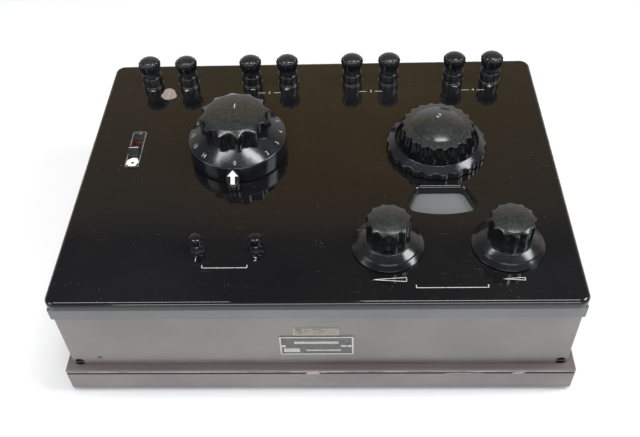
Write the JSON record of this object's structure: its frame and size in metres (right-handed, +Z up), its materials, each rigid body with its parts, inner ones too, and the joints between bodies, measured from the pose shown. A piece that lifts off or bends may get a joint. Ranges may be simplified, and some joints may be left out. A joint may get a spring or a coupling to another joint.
{
  "type": "laboratory potentiometer",
  "caption": "Bench potentiometer for use with a galvanometer: black moulded panel with dials, knobs, keys and screw terminals on a grey wooden case.",
  "frame": {"origin": "on the bench, under the middle of the case", "axes": "+X to the right along the longer side, +Y to the back, where the terminals are, +Z up"},
  "size_m": [0.3566, 0.2626, 0.1352],
  "materials": {
    "bakelite_panel": "polished black moulding with fine scratches",
    "moulding": "polished black moulding",
    "switch_moulding": "black, worn at its edges",
    "case_paint": "grey brown paint, satin, worn at the edges",
    "rim_paint": "grey paint, satin",
    "bare_wood": "bare softwood",
    "steel": "dull steel",
    "nickel": "nickel plate, slightly worn",
    "plate_metal": "pale aged metal",
    "foot_rubber": "matt black rubber",
    "brass": "plain turned brass",
    "laminate": "brown paper laminate",
    "resistance_card": "varnished winding",
    "resistance_wire": "bare resistance wire",
    "scale_ivory": "ivory printed scale"
  },
  "bodies": {
    "case": {"panel": "bakelite_panel", "front_board": "case_paint", "back_board": "case_paint", "side_boards": "case_paint", "base_board": "case_paint", "rim_strips": "rim_paint", "corner_blocks": "bare_wood", "case_screws": "steel", "feet": "foot_rubber", "name_plates": "plate_metal", "plate_pins": "plate_metal", "terminal_studs": "nickel", "terminal_collars": "moulding", "terminal_nuts": "nickel", "shaft_bushings": "brass", "bushing_nuts": "nickel", "index_post": "moulding", "v_detent_spring": "steel", "v_deck": "laminate", "v_contacts": "brass", "v_coils": "resistance_card", "deck_pillars": "nickel", "mv_deck": "laminate", "slidewire_former": "laminate", "slidewire": "resistance_wire", "rheostat_bodies": "laminate", "rheostat_windings": "resistance_wire", "key_bushings": "moulding", "key_block": "laminate", "key_contacts": "brass", "low_leaf": "brass", "high_leaf": "brass", "switch_plate": "switch_moulding", "switch_body": "laminate", "switch_screw": "steel"},
    "voltage_dial": {"v_knob": "moulding", "v_dial": "moulding", "v_shaft": "steel", "v_brush_arm": "brass", "v_detent_wheel": "brass"},
    "millivolt_dial": {"mv_knob": "moulding", "mv_ring": "moulding", "mv_shaft": "steel", "scale_disc": "scale_ivory", "mv_wiper": "brass"},
    "coarse_rheostat": {"coarse_knob": "moulding", "coarse_wiper": "brass"},
    "fine_rheostat": {"fine_knob": "moulding", "fine_wiper": "brass"},
    "low_key": {"low_button": "moulding"},
    "high_key": {"high_button": "moulding"},
    "battery_switch": {"switch_slider": "moulding"},
    "terminal_1": {"terminal_cap_1": "moulding"},
    "terminal_2": {"terminal_cap_2": "moulding"},
    "terminal_3": {"terminal_cap_3": "moulding"},
    "terminal_4": {"terminal_cap_4": "moulding"},
    "terminal_5": {"terminal_cap_5": "moulding"},
    "terminal_6": {"terminal_cap_6": "moulding"},
    "terminal_7": {"terminal_cap_7": "moulding"},
    "terminal_8": {"terminal_cap_8": "moulding"}
  },
  "joints": [
    {"name": "voltage_dial_turn", "type": "hinge", "parent": "case", "child": "voltage_dial", "pos_m": [-0.06, 0.0185, 0.097], "axis": [0, 0, 1], "range_deg": [-337.5, 0]},
    {"name": "millivolt_dial_turn", "type": "hinge", "parent": "case", "child": "millivolt_dial", "pos_m": [0.0885, 0.0185, 0.097], "axis": [0, 0, 1], "range_deg": [-163, 163]},
    {"name": "coarse_turn", "type": "hinge", "parent": "case", "child": "coarse_rheostat", "pos_m": [0.0485, -0.0797, 0.097], "axis": [0, 0, 1], "range_deg": [-145, 145]},
    {"name": "fine_turn", "type": "hinge", "parent": "case", "child": "fine_rheostat", "pos_m": [0.1285, -0.0797, 0.097], "axis": [0, 0, 1], "range_deg": [-145, 145]},
    {"name": "low_key_press", "type": "slide", "parent": "case", "child": "low_key", "axis": [0, 0, -1], "range_m": [0, 0.0025], "stiffness_N_per_m": 200, "springref_m": -0.0002, "deforming": ["low_leaf"]},
    {"name": "high_key_press", "type": "slide", "parent": "case", "child": "high_key", "axis": [0, 0, -1], "range_m": [0, 0.0025], "stiffness_N_per_m": 200, "springref_m": -0.0002, "deforming": ["high_leaf"]},
    {"name": "battery_switch_slide", "type": "slide", "parent": "case", "child": "battery_switch", "axis": [0, 1, 0], "range_m": [0, 0.009]},
    {"name": "terminal_1_unscrew", "type": "slide", "parent": "case", "child": "terminal_1", "axis": [0, 0, 1], "range_m": [0, 0.004]},
    {"name": "terminal_2_unscrew", "type": "slide", "parent": "case", "child": "terminal_2", "axis": [0, 0, 1], "range_m": [0, 0.004]},
    {"name": "terminal_3_unscrew", "type": "slide", "parent": "case", "child": "terminal_3", "axis": [0, 0, 1], "range_m": [0, 0.004]},
    {"name": "terminal_4_unscrew", "type": "slide", "parent": "case", "child": "terminal_4", "axis": [0, 0, 1], "range_m": [0, 0.004]},
    {"name": "terminal_5_unscrew", "type": "slide", "parent": "case", "child": "terminal_5", "axis": [0, 0, 1], "range_m": [0, 0.004]},
    {"name": "terminal_6_unscrew", "type": "slide", "parent": "case", "child": "terminal_6", "axis": [0, 0, 1], "range_m": [0, 0.004]},
    {"name": "terminal_7_unscrew", "type": "slide", "parent": "case", "child": "terminal_7", "axis": [0, 0, 1], "range_m": [0, 0.004]},
    {"name": "terminal_8_unscrew", "type": "slide", "parent": "case", "child": "terminal_8", "axis": [0, 0, 1], "range_m": [0, 0.004]}
  ]
}
